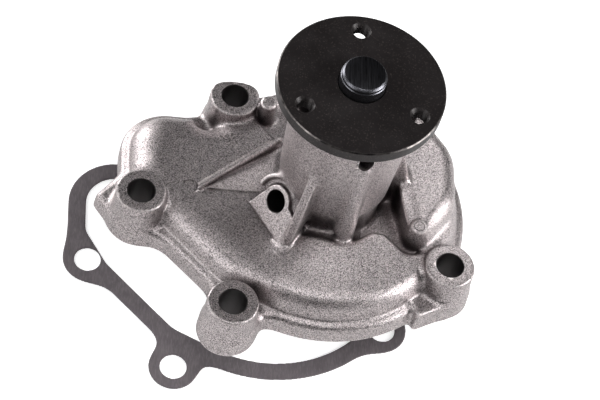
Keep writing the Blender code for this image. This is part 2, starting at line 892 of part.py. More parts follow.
def seal_spring(bottom, top):
    turns = 3.5
    per_turn = 12
    count = round(turns * per_turn)
    curve = bpy.data.curves.new("seal_spring", "CURVE")
    curve.dimensions = "3D"
    curve.bevel_depth = 0.55 * MM
    curve.bevel_resolution = 2
    curve.use_fill_caps = True
    spline = curve.splines.new("POLY")
    spline.points.add(count)
    for i, point in enumerate(spline.points):
        angle = 2 * math.pi * i / per_turn
        height = bottom + (top - bottom) * i / count
        point.co = (12.9 * MM * math.cos(angle), 12.9 * MM * math.sin(angle), height, 1)
    return add("seal_spring", curve, GROUND_STEEL)


# ---------------------------------------------------------------- gasket


def gasket():
    core = core_outline()
    made = plate("gasket", [inset(core, -GASKET_OUTSET)], 0, GASKET_THICK, FIBRE)
    for name, place in BOSSES.items():
        join(made, plate("gasket_ear_" + name, [circle(place, GASKET_EAR_R)], 0, GASKET_THICK))
    cut(made, plate("gasket_opening", [inset(core, GASKET_INSET)], -5 * MM, 5 * MM))
    for name, place in BOSSES.items():
        cut(made, plate("gasket_hole_" + name, [circle(place, GASKET_HOLE_R)], -5 * MM, 5 * MM))
    return made


# ---------------------------------------------------------------- assembly


def ride_on(parent, pieces):
    bpy.context.view_layer.update()
    for piece in pieces:
        place = piece.matrix_world.copy()
        piece.parent = parent
        piece.matrix_parent_inverse = parent.matrix_world.inverted()
        piece.matrix_world = place


def build():
    housing = pump_housing()
    smooth(housing.data)
    ride_on(housing, [bearing_ring(), *bearing_seals(), *fixed_seal()])
    ride_on(axis_empty("shaft_axis"), [shaft(), drive_flange(), impeller(), slinger(), *rotating_seal()])
    ride_on(axis_empty("ball_row_axis", BALL_Z), ball_row())
    ride_on(axis_empty("roller_row_axis", ROLLER_Z), roller_row())
    ring = gasket()
    lie_down = axis_empty("gasket_place")
    ride_on(lie_down, [ring, *[tool for tool in TOOLS.objects if tool.name.startswith("gasket_")]])
    lie_down.location = GASKET_SHIFT


build()
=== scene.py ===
"""The looks of the water pump: a cast housing with fillets, machined details, materials, light and camera.

The housing is a signed-distance field on a fine grid: cast shapes are blended into each other with
fillets, a skin is drawn round the result, and the machined faces are then cut from it. The pump's
lengths are in millimetres, with heights counted from the face that bolts to the engine.
"""

import json
import math
from functools import partial
from itertools import product

import bmesh
import bpy
import numpy as np
from mathutils import Matrix, Vector


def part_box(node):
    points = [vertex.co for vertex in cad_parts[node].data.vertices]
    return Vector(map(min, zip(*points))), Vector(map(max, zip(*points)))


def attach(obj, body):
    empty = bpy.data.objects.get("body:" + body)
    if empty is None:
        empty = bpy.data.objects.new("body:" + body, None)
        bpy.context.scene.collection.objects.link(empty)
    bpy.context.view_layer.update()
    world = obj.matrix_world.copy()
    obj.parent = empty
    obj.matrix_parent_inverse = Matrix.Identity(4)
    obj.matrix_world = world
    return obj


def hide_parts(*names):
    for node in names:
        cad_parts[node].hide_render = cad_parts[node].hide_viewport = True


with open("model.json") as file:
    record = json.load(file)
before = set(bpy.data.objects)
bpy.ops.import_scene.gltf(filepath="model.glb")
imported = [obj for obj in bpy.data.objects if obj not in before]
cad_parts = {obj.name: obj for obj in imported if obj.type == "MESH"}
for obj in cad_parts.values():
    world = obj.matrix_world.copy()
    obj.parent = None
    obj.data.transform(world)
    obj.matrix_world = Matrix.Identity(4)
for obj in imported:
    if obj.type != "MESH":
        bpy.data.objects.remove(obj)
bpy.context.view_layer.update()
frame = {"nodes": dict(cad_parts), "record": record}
RECORD = frame["record"]
MM = 0.001


def mount(name):
    """Where a mount of the record is, in metres."""
    return Vector(next(m["pos_m"] for m in RECORD["mounts"] if m["name"] == name))


MOUNT_Z = mount("mounting_face").z


def above_face(metres):
    """A height of the frame as millimetres above the mounting face."""
    return (metres - MOUNT_Z) / MM


def box_radius(node):
    """A round node's radius in millimetres."""
    low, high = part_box(node)
    return (high.x - low.x) / 2 / MM


GRID = 0.6
FINE_GRID = 0.4

# Heights above the mounting face.
RIM_TOP = 8
DECK = 16.5
PLATEAU = 25.5
BOSS_TOP = above_face(mount("bolt_seat_left").z)
FLANGE_TOP = above_face(mount("pulley_face").z)
SHAFT_TOP = above_face(mount("shaft_front_end").z)
NOSE_TOP = FLANGE_TOP - 9
CAVITY_TOP = 11.5
BEARING_SEAT = 32.7
SEAL_BORE_TOP = 17.3
FOOT = -3  # rim, walls and bosses start here
STOCK = -2.5  # the casting is cut off here before its face is milled
BELOW = -6  # where tools that cut right through end

# Plan.
ROUND_R = 52.9
WALL_INSET = 3.7
CAVITY_INSET = 8.3
CAST_WALL = 4.5  # under the sunken places of the deck
SHOULDER_R = 8
BOSS_R = 9
BOSS_FOOT_R = 10.2
BOLT_HOLE_R = 5
BOLT_SEAT_R = 7  # the bolt seats of the record lie this far in front of their holes
BEARING_BORE_R = 15.3
DRAIN_CHAMBER_R = 13.3
SEAL_BORE_R = 16.3
SEAL_COLLAR_R = 21
REAR_POST = (-23, 33)
FRONT_POST = (31.2, -17.6)
FRONT_POST_TOP = PLATEAU + 0.7
BOSSES = {
    name: (mount("bolt_seat_" + name).x / MM, mount("bolt_seat_" + name).y / MM + BOLT_SEAT_R)
    for name in ("left", "front", "right", "rear", "rear_left")
}


# ---------------- outlines in plan


def arc(centre, radius, start, end, step=6):
    """Points along an arc, angles in degrees."""
    count = max(2, math.ceil(abs(end - start) / step))
    turns = [math.radians(start + (end - start) * i / count) for i in range(count + 1)]
    return [(centre[0] + radius * math.cos(a), centre[1] + radius * math.sin(a)) for a in turns]


def rounded(corners):
    """A closed outline with each corner (x, y, radius) rounded; a radius of 0 keeps it sharp."""
    points = []
    count = len(corners)
    for i, (x, y, radius) in enumerate(corners):
        here = Vector((x, y))
        if radius == 0:
            points.append((x, y))
            continue
        back = (Vector(corners[i - 1][:2]) - here).normalized()
        ahead = (Vector(corners[(i + 1) % count][:2]) - here).normalized()
        half = back.angle(ahead) / 2
        centre = here + (back + ahead).normalized() * radius / math.sin(half)
        first = here + back * radius / math.tan(half) - centre
        last = here + ahead * radius / math.tan(half) - centre
        start = math.degrees(math.atan2(first.y, first.x))
        points += arc(centre, radius, start, start - math.degrees(first.angle_signed(last)))
    return points


def core_outline():
    """The rim without its bolt ears: a disc with a side lobe."""
    disc = arc((0, 0), ROUND_R, -112, 132, 3)
    lobe = rounded(
        [
            (-46, 34.8, 6), (-76.8, 34.8, 18), (-75.5, 2, 14), (-65.5, -14, 14), (-38.5, -40.5, 20),
            (*disc[0], 0),
        ]
    )
    return disc + lobe[:-1]


# ---------------- distances


def to_outline(points, x, y):
    """Signed distance from places in plan to a closed outline, negative inside."""
    least = np.full(np.broadcast(x, y).shape, 1e9, np.float32)
    inside = np.zeros(least.shape, bool)
    for (ax, ay), (bx, by) in zip(points, points[1:] + points[:1]):
        ex = bx - ax
        ey = by - ay
        px = x - ax
        py = y - ay
        along = np.clip((px * ex + py * ey) / (ex * ex + ey * ey + 1e-12), 0, 1)
        least = np.minimum(least, (px - along * ex) ** 2 + (py - along * ey) ** 2)
        if ey:
            inside ^= ((ay <= y) != (by <= y)) & (px < ex * py / ey)
    return np.where(inside, -1, 1) * np.sqrt(least)


def either(a, b, fillet=0):
    """The union of two solids, with a fillet where they meet."""
    if not fillet:
        return np.minimum(a, b)
    overlap = np.maximum(fillet - np.abs(a - b), 0) / fillet
    return np.minimum(a, b) - overlap * overlap * fillet / 4


def both(a, b, edge=0):
    """What two solids share, with a rounded edge."""
    return -either(-a, -b, edge)


def without(a, b, edge=0):
    """The first solid less the second, with a rounded edge."""
    return -either(-a, b, edge)


def prism(plan, z, bottom, top, edge=0, draft=0):
    """An upright solid over a plan, rounded at its upper edge; draft is the slope of its sides."""
    side = plan + (z - bottom) * draft
    side, up = np.broadcast_arrays(side + edge, z - top + edge)
    outside = np.sqrt(np.maximum(side, 0) ** 2 + np.maximum(up, 0) ** 2)
    capped = np.minimum(np.maximum(side, up), 0) + outside - edge
    return np.maximum(capped, bottom - z)


def off_axis(x, y, place):
    """Distance in plan from an upright axis."""
    return np.hypot(x - place[0], y - place[1])


def post(x, y, z, place, foot_r, top_r, bottom, top, edge=0.6):
    """A round upright with draft."""
    plan = off_axis(x, y, place) - foot_r
    return prism(plan, z, bottom, top, edge, (foot_r - top_r) / (top - bottom))


# ---------------- the field

EVERYWHERE = ((-200, -200, -200), (200, 200, 200))


class Field:
    """Distances to the skin of a solid at every point of a grid."""

    def __init__(self, low, high, step):
        self.low = low
        self.step = step
        self.axes = [np.arange(a, b, step, dtype=np.float32) for a, b in zip(low, high)]
        self.values = np.full([len(a) for a in self.axes], 1e3, np.float32)

    def everything(self):
        """The coordinates of the whole grid."""
        return self.part(*EVERYWHERE)[1]

    def part(self, low, high):
        """The slices of the grid inside a box, and the coordinates there."""
        cuts = []
        for axis, a, b in zip(self.axes, low, high):
            cuts.append(slice(int(np.searchsorted(axis, a)), int(np.searchsorted(axis, b))))
        x, y, z = (axis[cut] for axis, cut in zip(self.axes, cuts))
        return tuple(cuts), (x[:, None, None], y[None, :, None], z[None, None, :])

    def change(self, rule, shape, low, high, rounding=0):
        """Joins or cuts a shape, given as a function of x, y and z, inside a box."""
        cuts, (x, y, z) = self.part(low, high)
        self.values[cuts] = rule(self.values[cuts], shape(x, y, z).astype(np.float32), rounding)


# ---------------- cast shapes


def rim_plan(x, y):
    """The mounting rim with the feet of its bolt bosses."""
    plan = to_outline(core_outline(), x, y)
    for place in BOSSES.values():
        plan = either(plan, off_axis(x, y, place) - BOSS_FOOT_R, 9)
    return plan


def ear_plan(x, y):
    """The pointed corner of the rim beyond the left bolt boss."""
    outline = rounded([(-84.6, -3.4, 2.6), (-74.5, -17.5, 8), (-60, -12, 0), (-66, 8, 0), (-76.4, 6.5, 5)])
    return to_outline(outline, x, y)


def lug(x, y, z):
    """The square corner of the rim in front of the right bolt boss."""
    outline = rounded([(29.6, -38.2, 0.8), (33.2, -45.4, 1.2), (46.5, -38.6, 3), (44, -28, 0)])
    return prism(to_outline(outline, x, y), z, FOOT, RIM_TOP + 1, edge=1, draft=0.05)


def add_rim_and_walls(field):
    """The rim with its ear, and the walls up to the deck, whose shoulder is a flat ellipse."""
    x, y, z = field.everything()
    core = to_outline(core_outline(), x, y)
    rim = prism(rim_plan(x, y), z, FOOT, RIM_TOP, edge=2.2, draft=0.05)
    ear = prism(ear_plan(x, y), z, FOOT, RIM_TOP - 0.6, edge=2.5, draft=0.1)
    wall = prism((core + WALL_INSET) * 0.72, z, FOOT, DECK, edge=SHOULDER_R, draft=0.02)
    field.values[:] = either(either(rim, ear, 2), wall, 2)


def front_dome(x, y, z):
    """The deck in front of the nose, rising like a cone towards it."""
    foot_r = 45.5
    steepness = 6.5 / 23
    r = np.hypot(x, y)
    slope = (z - DECK - steepness * (foot_r - r)) * 0.95
    sector = half_plane(x, y, -52, 7.5) * 0.4
    return both(both(slope, r - foot_r - 1.5, 4), sector, 6)


def half_plane(x, y, facing, start):
    """Distance behind a line in plan that looks along an angle and starts so far from the shaft."""
    turn = math.radians(facing)
    return start - x * math.cos(turn) - y * math.sin(turn)


def moat(x, y, z):
    """The groove round the front of the nose, widening into the valley on its right."""
    outline = rounded(
        [
            (-13.5, -15, 0), (-10.5, -19.6, 2), (5, -24.4, 8), (14.5, -17.6, 2.5), (20, -17.6, 3),
            (27, -23.2, 4), (32, -23.2, 4), (40, -10, 0), (40, 30, 0), (0, 30, 0), (0, 0, 0),
        ]
    )
    floor = np.interp(x, [4, 12], [20, 15]).astype(np.float32)
    return both(to_outline(outline, x, y) - (z - floor) * 0.12, floor - z, 1)


def trough(x, y, z):
    """The sunken wedge on the left of the nose, deepest beside it, with a chamfer that widens too."""
    outline = rounded([(-47.5, -3.2, 0.6), (-10, -0.5, 0), (-10, 27.8, 0)])
    plan = to_outline(outline, x, y)
    floor = np.maximum(DECK - 0.3 - (x + 47.5) * 0.2, 10.5)
    chamfer = np.interp(x, [-47, -19], [0.3, 1.3]).astype(np.float32)
    bevel = (plan - chamfer + DECK - z) * 0.7
    return both(np.minimum(plan, bevel), floor - z, 1)


def pocket(path, x, y, z):
    """A round-bottomed groove through (x, y, z, radius) stations."""
    nearest = np.full(np.broadcast(x, y, z).shape, 1e3, np.float32)
    for a, b in zip(path, path[1:]):
        way = np.array(b) - np.array(a)
        length = float(way[:3] @ way[:3])
        along = ((x - a[0]) * way[0] + (y - a[1]) * way[1] + (z - a[2]) * way[2]) / length
        along = np.clip(along, 0, 1)
        away = (x - a[0] - along * way[0]) ** 2 + (y - a[1] - along * way[1]) ** 2
        away = np.sqrt(away + (z - a[2] - along * way[2]) ** 2)
        nearest = np.minimum(nearest, away - a[3] - along * way[3])
    return nearest


LEFT_POCKET = [(-10.4, -17.8, 21.5, 1.6), (-5, -20.3, 22, 2), (0.2, -20.8, 22.2, 1.6)]
RIGHT_POCKET = [
    (12.8, -16.8, 20.5, 1.6),
    (17.5, -15.6, 18.5, 2.1),
    (22.5, -17, 17, 2.2),
    (27.6, -21.2, 16.6, 1.8),
]


def rear_recess(x, y, z):
    """The low ground behind the nose."""
    outline = rounded(
        [(-29.5, 33.5, 3), (-18.4, 20.2, 1), (-10, 0, 0), (14, 0, 0), (18, 36, 5), (-14, 43, 5)]
    )
    return both(to_outline(outline, x, y), 12 - z, 3)


def plateau(x, y, z):
    """The raised step on the right of the nose, sharp towards it and rounded on the outside."""
    outline = rounded(
        [
            (24.8, 34, 3), (24.3, -3, 20), (27.6, -20.2, 2), (34.6, -20.2, 3), (46.5, -4, 18),
            (46.5, 18, 18), (34, 36, 8),
        ]
    )
    shoulder = np.clip((x - 26) / 12, 0, 1)
    plan = to_outline(outline, x, y)
    sharp = prism(plan, z, 0, PLATEAU, edge=0.8)
    soft = prism(plan, z, 0, PLATEAU, edge=7)
    return sharp * (1 - shoulder) + soft * shoulder


def nose(x, y, z):
    """The bearing housing, a column that narrows towards its foot."""
    radius = np.interp(z, [10, 24, 30, 50, NOSE_TOP], [18.6, 18.2, 19.9, 21, 21.5])
    return both(np.hypot(x, y) - radius.astype(np.float32), z - NOSE_TOP, 0.8)


def rib(x, y, z, side, angle, thick, edge):
    """A flat rib at an angle round the shaft; side is its (radius, height) outline."""
    turn = math.radians(angle)
    along = x * math.cos(turn) + y * math.sin(turn)
    across = -x * math.sin(turn) + y * math.cos(turn)
    return both(to_outline(side, along, z), np.abs(across) - thick / 2, edge)


PAD_RIB = [(15, 8), (33, 10), (31.4, 16.5), (19.6, 56), (15, 58)]
PAD_RIB_ANGLE = -121.5
PLAIN_RIB = [(15, 8), (32, 9), (30, 18), (21, 52), (15, 54)]
PLAIN_RIB_ANGLES = (78, 8)
FRONT_RIB_ANGLE = -78


def front_rib(x, y, z):
    """The half-round rib down the front of the nose."""
    turn = math.radians(FRONT_RIB_ANGLE)
    lean = np.interp(z, [16, 60], [20.4, 19.2]).astype(np.float32)
    radius = np.interp(z, [16, 60], [4.2, 3.2]).astype(np.float32)
    away = np.hypot(x - lean * math.cos(turn), y - lean * math.sin(turn)) - radius
    return both(away, z - 62, 2)


DRAIN_PLACE = (-20.6, -12.6, 26.2)  # where the drain hole leaves its pad
DRAIN_HEADING = -147.5
DRAIN_RISE = 31
DRAIN_HOLE_R = 4


def drain_frame():
    """The drain hole's axis: +X leaves the pad's face, outwards and up."""
    heading = Matrix.Rotation(math.radians(DRAIN_HEADING), 4, "Z")
    rise = Matrix.Rotation(math.radians(-DRAIN_RISE), 4, "Y")
    return Matrix.Translation(DRAIN_PLACE) @ heading @ rise


def on_pad(x, y, z):
    """Places in the drain's frame: height above the pad's face, then across it, then up along it."""
    rows = drain_frame().inverted()
    return [rows[k][0] * x + rows[k][1] * y + rows[k][2] * z + rows[k][3] for k in range(3)]


def behind_pad(out, z):
    """How far the solids behind the pad's face reach into the nose and down into the deck."""
    return np.maximum(-14 - out, 8 - z)


def drain_pad(x, y, z):
    """The buttress at the left front of the nose: a kite with a round head about the drain hole."""
    kite = [(-8.4, -9.9), (14, -9.9), (10.8, 1.5), (5.4, 2.5), (-5.7, 1.5)]
    head_r = 6
    out, across, up = on_pad(x, y, z)
    plan = either(to_outline(kite, across, up), np.hypot(across, up) - head_r, 0.5)
    return both(both(plan, out, 0.5), behind_pad(out, z))


def drain_web(x, y, z):
    """The sunken web that joins the head of the drain pad to the rib on its right."""
    outline = [(0, -6), (12.5, -6), (10.8, 1.5), (8.9, 8), (3, 8)]
    depth = 2
    out, across, up = on_pad(x, y, z)
    return both(both(to_outline(outline, across, up), out + depth, 0.5), behind_pad(out, z))


def drain_hood(x, y, z):
    """The round shoulder about the head of the drain pad, standing out from the nose."""
    out, across, up = on_pad(x, y, z)
    shoulder = both(np.hypot(across, up) - 10.2, out - 0.7, 1.6)
    return both(shoulder, np.maximum(np.maximum(across - 3, -1.5 - up), -12 - out), 1)


def hood_recess(x, y, z):
    """The sunken ring between the shoulder and the head of the pad."""
    out, across, up = on_pad(x, y, z)
    return both(np.hypot(across, up) - 8.4, -1.6 - out, 0.8)


def boss(x, y, z, place):
    """A round bolt boss."""
    return post(x, y, z, place, BOSS_FOOT_R, BOSS_R, FOOT, BOSS_TOP, edge=0.7)


def rear_left_boss(x, y, z, place):
    """The bolt boss that is cut flat at the back."""
    flat = y - place[1] - 8.3
    plan = both(off_axis(x, y, place) - BOSS_FOOT_R - 0.3, flat, 4)
    return prism(plan, z, FOOT, BOSS_TOP, 0.7, (BOSS_FOOT_R - BOSS_R) / BOSS_TOP)


def near(place, reach, bottom=-9, top=120):
    """A box round an upright axis."""
    return (place[0] - reach, place[1] - reach, bottom), (place[0] + reach, place[1] + reach, top)


def add_bosses(field):
    for name, place in BOSSES.items():
        shape = rear_left_boss if name == "rear_left" else boss
        field.change(either, partial(shape, place=place), *near(place, 18), rounding=2.5)


def ridge(x, y, z):
    """The thin bead along the edge of the trough."""
    start = np.array((-47.3, -3.4))
    end = np.array((-18.6, 20.6))
    length = 38
    radius = 1.25
    way = (end - start) / np.hypot(*(end - start))
    along = (x - start[0]) * way[0] + (y - start[1]) * way[1]
    across = (y - start[1]) * way[0] - (x - start[0]) * way[1]
    beyond = np.maximum(np.maximum(-along, along - length), 0)
    return np.sqrt(beyond**2 + (across - 0.1) ** 2 + (z - DECK - 0.05) ** 2) - radius


def shape_deck(field):
    """The deck's rise, its sunken places, the bead beside one of them and the raised step."""
    left = ((-55, -12, 5), (-5, 35, 60))
    field.change(either, front_dome, *near((0, 0), 56), rounding=3)
    field.change(without, moat, *near((0, 0), 40), rounding=3)
    field.change(without, trough, *left, rounding=1)
    field.change(without, rear_recess, (-40, -5, 0), (30, 55, 60), rounding=2)
    field.change(either, ridge, *left, rounding=0.4)
    field.change(either, plateau, (15, -40, 0), (60, 50, 50), rounding=3)


def add_nose(field):
    """The nose with its ribs and the hooded drain pad, and the grooves round its foot."""
    pad_rib = partial(rib, side=PAD_RIB, angle=PAD_RIB_ANGLE, thick=3.4, edge=0.7)
    steps = [(either, nose, 2.5)]
    for angle in PLAIN_RIB_ANGLES:
        steps.append((either, partial(rib, side=PLAIN_RIB, angle=angle, thick=5, edge=1.5), 3))
    steps += [
        (either, front_rib, 1.5),
        (either, drain_hood, 2),
        (without, hood_recess, 0.8),
        (either, drain_web, 1),
        (either, drain_pad, 0.6),
        (either, pad_rib, 1),
        (without, partial(pocket, LEFT_POCKET), 1),
        (without, partial(pocket, RIGHT_POCKET), 1),
    ]
    for rule, shape, rounding in steps:
        field.change(rule, shape, *near((0, 0), 40), rounding=rounding)


def rear_post(x, y, z):
    return post(x, y, z, REAR_POST, 3.7, 3.1, 4, 23)


def front_post(x, y, z):
    return post(x, y, z, FRONT_POST, 3.8, 3.1, 10, FRONT_POST_TOP, edge=0.3)


def cut_inside(field):
    """The water space under the lid, round the seal's collar."""
    x, y, z = field.everything()
    plan = to_outline(core_outline(), x, y) + CAVITY_INSET
    sunken = np.minimum(rear_recess(x, y, z), trough(x, y, z)) - CAST_WALL
    collar = np.maximum(np.hypot(x, y) - SEAL_COLLAR_R, 4 - z)
    space = prism(plan, z, -10, np.float32(CAVITY_TOP), edge=4)
    space = without(without(space, sunken, 2), collar, 2)
    field.values[:] = np.maximum(without(field.values, space, 0.8), STOCK - z)


def housing_field():
    field = Field((-90, -66, -4), (60, 66, 76), GRID)
    add_rim_and_walls(field)
    shape_deck(field)
    add_nose(field)
    add_bosses(field)
    field.change(either, lug, *near((38, -36), 16), rounding=2)
    field.change(either, rear_post, *near(REAR_POST, 12), rounding=1.5)
    field.change(either, front_post, *near(FRONT_POST, 10), rounding=0.8)
    cut_inside(field)
    return field


# ---------------- from field to mesh


def without_pinches(values):
    """Fills squares where two solid corners touch across a diagonal, which no skin can follow."""
    values = values.copy()
    for axes in ((0, 1), (0, 2), (1, 2)):
        grid = np.moveaxis(values, axes, (0, 1))
        corners = (grid[:-1, :-1], grid[:-1, 1:], grid[1:, :-1], grid[1:, 1:])
        while True:
            a, b, c, d = (corner < 0 for corner in corners)
            pinched = (a == d) & (b == c) & (a != b)
            if not pinched.any():
                break
            for corner in corners:
                corner[pinched] = np.minimum(corner[pinched], -0.02)
    return values


def crossed_edges(values, axis):
    """Where the level crosses the grid along an axis, the four cells round there, and its facing."""
    shape = np.array(values.shape) - 1
    low = np.take(values, range(shape[axis]), axis)
    high = np.take(values, range(1, shape[axis] + 1), axis)
    across = [other for other in range(3) if other != axis]
    place = np.argwhere((low < 0) != (high < 0))
    place = place[(place[:, across] > 0).all(1) & (place < shape).all(1)]
    a = low[tuple(place.T)]
    b = high[tuple(place.T)]
    crossing = place.astype(np.float64)
    crossing[:, axis] += a / (a - b)
    ring = []
    for shift in ((1, 1), (0, 1), (0, 0), (1, 0)):
        cell = place.copy()
        cell[:, across] -= shift
        ring.append(np.ravel_multi_index(tuple(cell.T), shape))
    backwards = (a >= 0) if axis != 1 else (a < 0)
    return crossing, ring, backwards


def skin(field):
    """A mesh of quads round the field's zero level: one point in each cell that the level crosses."""
    values = without_pinches(field.values)
    owners = []
    crossings = []
    rings = []
    for axis in range(3):
        crossing, ring, backwards = crossed_edges(values, axis)
        owners += ring
        crossings += [crossing] * 4
        quads = np.stack(ring, 1)
        quads[backwards] = quads[backwards][:, ::-1]
        rings.append(quads)
    cells, owner = np.unique(np.concatenate(owners), return_inverse=True)
    crossings = np.concatenate(crossings)
    share = np.bincount(owner)
    points = np.stack([np.bincount(owner, crossings[:, k]) / share for k in range(3)], 1)
    quads = np.searchsorted(cells, np.concatenate(rings))
    return points * field.step + np.array(field.low), quads


def mesh_of(name, points, quads):
    """A mesh in metres from points in millimetres above the mounting face."""
    data = bpy.data.meshes.new(name)
    data.vertices.add(len(points))
    data.vertices.foreach_set("co", (points * MM + [0, 0, MOUNT_Z]).astype(np.float32).ravel())
    data.loops.add(quads.size)
    data.loops.foreach_set("vertex_index", quads.astype(np.int32).ravel())
    data.polygons.add(len(quads))
    data.polygons.foreach_set("loop_start", np.arange(0, quads.size, 4, dtype=np.int32))
    data.update(calc_edges=True)
    data.validate()
    return data


def piece(name, data):
    """A new object in the scene."""
    made = bpy.data.objects.new(name, data)
    bpy.context.scene.collection.objects.link(made)
    return made


# ---------------- turned shapes and machining


def solid(name, points, faces):
    """A closed piece from its points in millimetres and its faces, turned outwards."""
    data = bpy.data.meshes.new(name)
    data.from_pydata([(x * MM, y * MM, z * MM) for x, y, z in points], [], faces)
    bm = bmesh.new()
    bm.from_mesh(data)
    bmesh.ops.recalc_face_normals(bm, faces=bm.faces)
    bm.to_mesh(data)
    bm.free()
    return piece(name, data)


def turned(name, profile, steps=96):
    """A profile of (radius, height) turned about Z: a closed ring, unless it starts on the axis."""
    turns = [2 * math.pi * i / steps for i in range(steps)]
    points = []
    rows = []
    for r, z in profile:
        count = steps if r > 0 else 1
        rows.append([len(points) + i % count for i in range(steps)])
        points += [(r * math.cos(a), r * math.sin(a), z) for a in turns[:count]]
    pairs = list(zip(rows, rows[1:]))
    if profile[0][0] > 0:
        pairs.append((rows[-1], rows[0]))
    faces = []
    for upper, lower in pairs:
        for i in range(steps):
            j = (i + 1) % steps
            corners = (upper[i], lower[i], lower[j], upper[j])
            face = tuple(dict.fromkeys(corners))
            if len(face) > 2:
                faces.append(face)
    return solid(name, points, faces)


def place_at(obj, x=0, y=0, height=MOUNT_Z / MM):
    """Moves a piece that was built about the shaft's axis, from the mounting face up."""
    obj.location = (x * MM, y * MM, height * MM)
    return obj


def finished(obj, *materials):
    """Adds materials to a piece."""
    for material in materials:
        obj.data.materials.append(material)
    return obj


def machined(target, cutters):
    """Cuts closed tools from a closed mesh and leaves the result as its mesh."""
    for cutter in cutters:
        step = target.modifiers.new(cutter.name, "BOOLEAN")
        step.operation = "DIFFERENCE"
        step.solver = "MANIFOLD"
        step.material_mode = "TRANSFER"
        step.object = cutter
    bpy.context.view_layer.update()
    graph = bpy.context.evaluated_depsgraph_get()
    data = bpy.data.meshes.new_from_object(target.evaluated_get(graph))
    target.modifiers.clear()
    target.data = data
    for cutter in cutters:
        bpy.data.objects.remove(cutter)
    return target


def smoothed(obj, angle):
    """Shades a piece smooth, with edges sharper than an angle kept."""
    obj.data.shade_smooth()
    obj.data.set_sharp_from_angle(angle=math.radians(angle))
    return obj


def block(name, low, high):
    """A box from its corners, in millimetres above the mounting face."""
    points = list(product(*zip(low, high)))
    faces = [(0, 1, 3, 2), (4, 6, 7, 5), (0, 4, 5, 1), (2, 3, 7, 6), (0, 2, 6, 4), (1, 5, 7, 3)]
    return place_at(solid(name, points, faces))


def bolt_hole(name, place):
    """A hole made with a drill, broken at its upper edge."""
    over = 3
    broken = 0.2
    r = BOLT_HOLE_R
    top = BOSS_TOP
    profile = [(0, top + over), (r + broken + over, top + over), (r, top - broken), (r, BELOW), (0, BELOW)]
    return place_at(turned("hole_" + name, profile, 72), *place)


def bores():
    """The seal's bore, the drain chamber and the bearing's bore, one above another."""
    over = 2
    broken = 0.7
    profile = [
        (0, NOSE_TOP + over),
        (BEARING_BORE_R + broken + over, NOSE_TOP + over),
        (BEARING_BORE_R, NOSE_TOP - broken),
        (BEARING_BORE_R, BEARING_SEAT),
        (DRAIN_CHAMBER_R, BEARING_SEAT),
        (DRAIN_CHAMBER_R, SEAL_BORE_TOP),
        (SEAL_BORE_R, SEAL_BORE_TOP),
        (SEAL_BORE_R, BELOW),
        (0, BELOW),
    ]
    return place_at(turned("bores", profile, 128))


def drain_tool():
    """The drain hole, broken at its edge."""
    wide = DRAIN_HOLE_R + 1.5
    profile = [(0, 20), (wide, 20), (wide, 1.2), (DRAIN_HOLE_R, -0.3), (DRAIN_HOLE_R, -15), (0, -15)]
    made = turned("drain_tool", profile, 72)
    stand = drain_frame() @ Matrix.Rotation(math.pi / 2, 4, "Y")
    made.matrix_world = Matrix.Translation((0, 0, MOUNT_Z)) @ scaled_place(stand)
    return made


def scaled_place(matrix):
    """A placement given in millimetres, in metres."""
    made = matrix.copy()
    made.translation = matrix.translation * MM
    return made


def cast_marks():
    """Round marks left by the die: a sunken ejector mark on the deck and a ring on the front post."""
    depth = 0.3
    over = 3
    ejector_r = 2.8
    ring_r = (2.05, 1.65)
    top = FRONT_POST_TOP
    ejector = [(0, DECK + over), (ejector_r, DECK + over), (ejector_r, DECK - depth), (0, DECK - depth)]
    ring = [(ring_r[0], top + 1), (ring_r[0], top - depth), (ring_r[1], top - depth), (ring_r[1], top + 1)]
    return [
        place_at(turned("ejector_mark", ejector, 48), -50.2, -2.8),
        place_at(turned("post_ring", ring, 48), *FRONT_POST),
    ]


def nose_notch():
    """The round-bottomed notch in the front of the nose, in line with its rib."""
    half = 2.7
    centre = 64.8
    arch = [(half * math.cos(a), centre - half * math.sin(a)) for a in np.linspace(0, math.pi, 17)]
    side = [(half, NOSE_TOP + 4), *arch, (-half, NOSE_TOP + 4)]
    count = len(side)
    points = [(reach, y, z) for reach in (14, 30) for y, z in side]
    faces = [tuple(range(count)), tuple(range(count, 2 * count))]
    faces += [(i, (i + 1) % count, count + (i + 1) % count, count + i) for i in range(count)]
    made = place_at(solid("nose_notch", points, faces))
    made.rotation_euler.z = math.radians(FRONT_RIB_ANGLE)
    return made


def housing_casting(cast, painted_hole_shade, milled):
    """The casting, its cast skin, its bores and its milled face in three finishes; the bores and holes
    carry painted shade.
    """
    made = piece("housing_casting", mesh_of("housing_casting", *skin(housing_field())))
    tools = [finished(block("milled_face", (-120, -120, -30), (120, 120, 0)), milled)]
    tools += [finished(bolt_hole(name, place), painted_hole_shade) for name, place in BOSSES.items()]
    tools += [finished(tool, painted_hole_shade) for tool in (bores(), drain_tool())]
    tools += [finished(mark, cast) for mark in cast_marks()]
    return smoothed(machined(finished(made, cast), [*tools, nose_notch()]), 40)


# ---------------- impeller

IMPELLER_R = box_radius("impeller")
IMPELLER_LOW = above_face(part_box("impeller")[0].z)
IMPELLER_HIGH = above_face(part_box("impeller")[1].z)
DISC = (-13, -10)
HUB_R = 12
VANES = 6
VANE_ROOT_R = 10.5
VANE_THICK = 2.6
VANE_SWEEP = 0.9  # radians turned for each e-fold of the radius


def vane_outline(turn):
    """A backward-swept vane along a logarithmic spiral, rounded at its tip."""
    sides = [[], []]
    for r in np.linspace(VANE_ROOT_R, IMPELLER_R - 0.8, 14):
        angle = turn + VANE_SWEEP * math.log(r / VANE_ROOT_R)
        middle = Vector((math.cos(angle), math.sin(angle))) * r
        facing = angle + math.atan(VANE_SWEEP) + math.pi / 2
        across = Vector((math.cos(facing), math.sin(facing))) * VANE_THICK / 2
        sides[0].append(tuple(middle - across))
        sides[1].append(tuple(middle + across))
    return sides[0] + sides[1][::-1]


